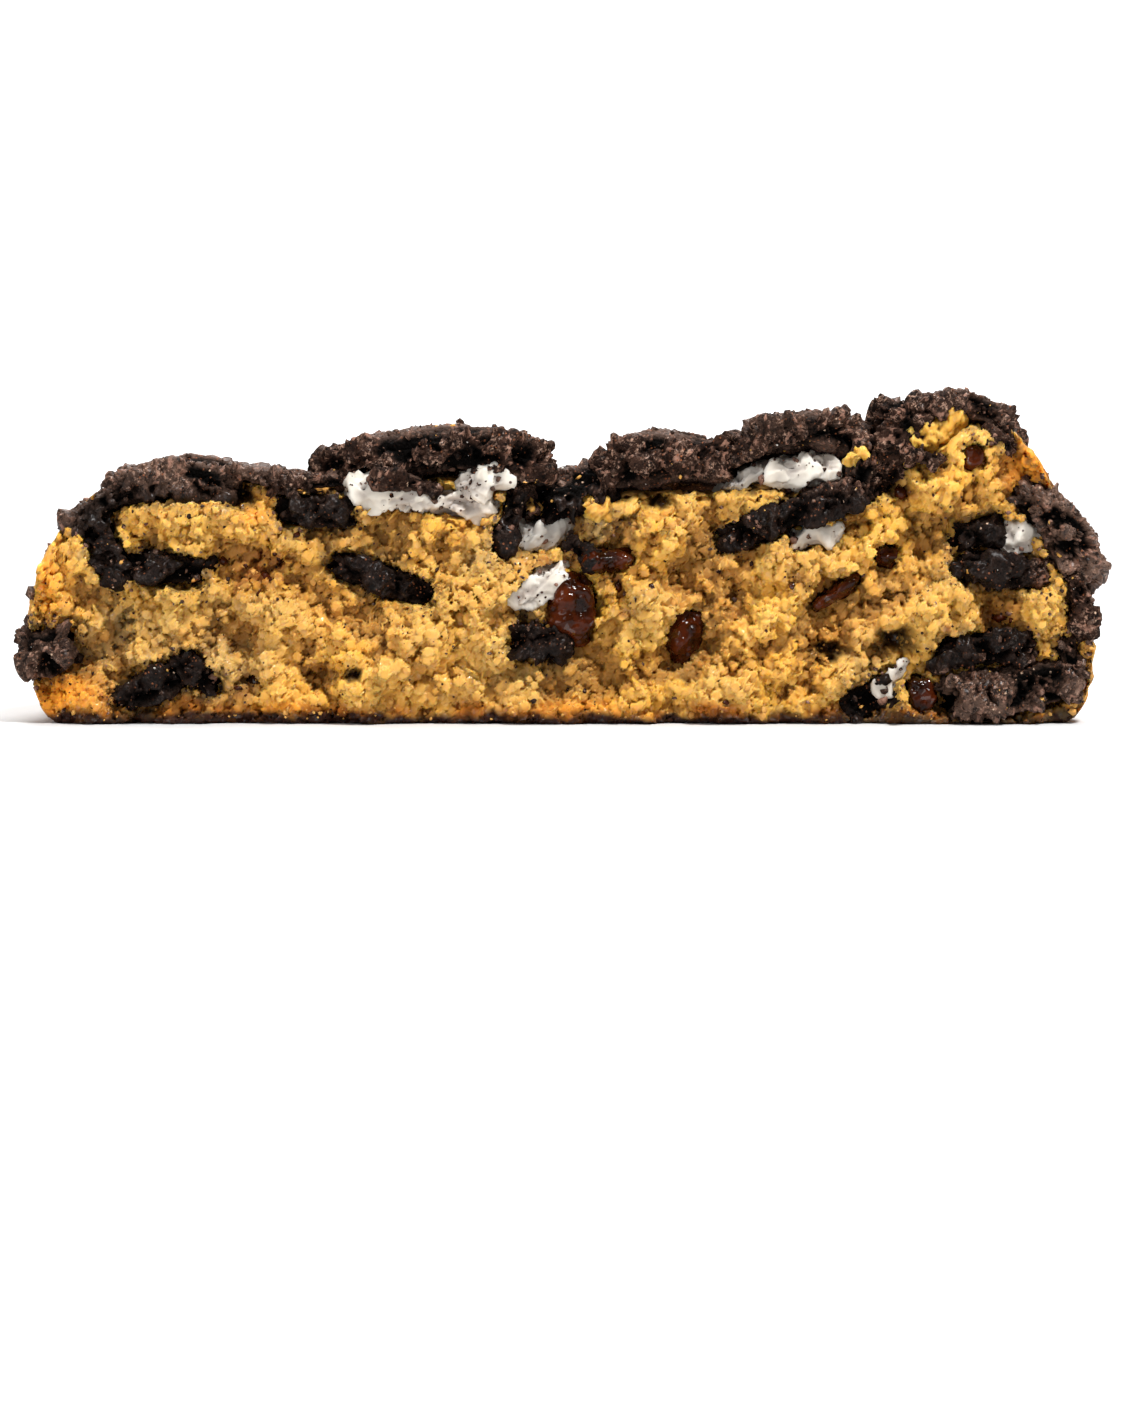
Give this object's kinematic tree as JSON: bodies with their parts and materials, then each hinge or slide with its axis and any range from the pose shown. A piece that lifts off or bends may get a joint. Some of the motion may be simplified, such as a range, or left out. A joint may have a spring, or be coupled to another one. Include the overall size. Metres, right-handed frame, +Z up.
{
  "type": "cookies and cream cookie",
  "caption": "Half of a thick cookies and cream cookie, broken by hand, with sandwich cookie pieces, cream and melted chocolate in its torn face.",
  "frame": {"origin": "middle of the bounding box in X and Y, on the flat baked base", "axes": "+X to the right as seen from the torn face, -Y out of the torn face towards the viewer, +Z up"},
  "size_m": [0.1082, 0.0572, 0.0333],
  "materials": {
    "dough": "torn golden crumb, browned crust",
    "wafer": "matte, crumbly, nearly black",
    "cream": "soft satin",
    "chocolate": "melted and glossy"
  },
  "bodies": {
    "root": {"back_left_wafer": "wafer", "back_middle_cream": "cream", "back_middle_wafer": "wafer", "back_right_cream": "cream", "back_right_wafer": "wafer", "bead_chocolate": "chocolate", "crevice_chocolate": "chocolate", "dough": "dough", "gap_chocolate": "chocolate", "gap_cream": "cream", "gap_slab": "wafer", "gap_wafer": "wafer", "heart_chocolate": "chocolate", "heart_cream": "cream", "heart_wafer": "wafer", "heel_chocolate": "chocolate", "heel_cream": "cream", "heel_low_wafer": "wafer", "heel_side_wafer": "wafer", "heel_upper_wafer": "wafer", "heel_wafer": "wafer", "inner_left_wafer": "wafer", "left_crown_cream": "cream", "left_crown_fold": "cream", "left_crown_lump": "wafer", "left_crown_wafer": "wafer", "left_end_wafer": "wafer", "low_left_chip": "wafer", "low_left_wafer": "wafer", "mid_left_wafer": "wafer", "middle_crown_wafer": "wafer", "peak_bead": "chocolate", "peak_left_wafer": "wafer", "peak_top_wafer": "wafer", "right_crown_base": "wafer", "right_crown_chip": "wafer", "right_crown_cream": "cream", "right_crown_smear": "cream", "right_crown_strip": "cream", "right_crown_wafer": "wafer", "rim_cream": "cream", "rim_inner_chip": "wafer", "rim_inner_wafer": "wafer", "rim_middle_wafer": "wafer", "rim_upper_wafer": "wafer", "shoulder_chip": "wafer", "shoulder_tail": "wafer", "shoulder_wafer": "wafer", "side_back_wafer": "wafer", "side_left_wafer": "wafer", "side_right_wafer": "wafer", "slash_chocolate": "chocolate", "top_left_wafer": "wafer", "top_middle_wafer": "wafer", "top_right_wafer": "wafer", "top_slot_wafer": "wafer", "tucked_wafer": "wafer", "upright_wafer": "wafer"}
  },
  "joints": []
}
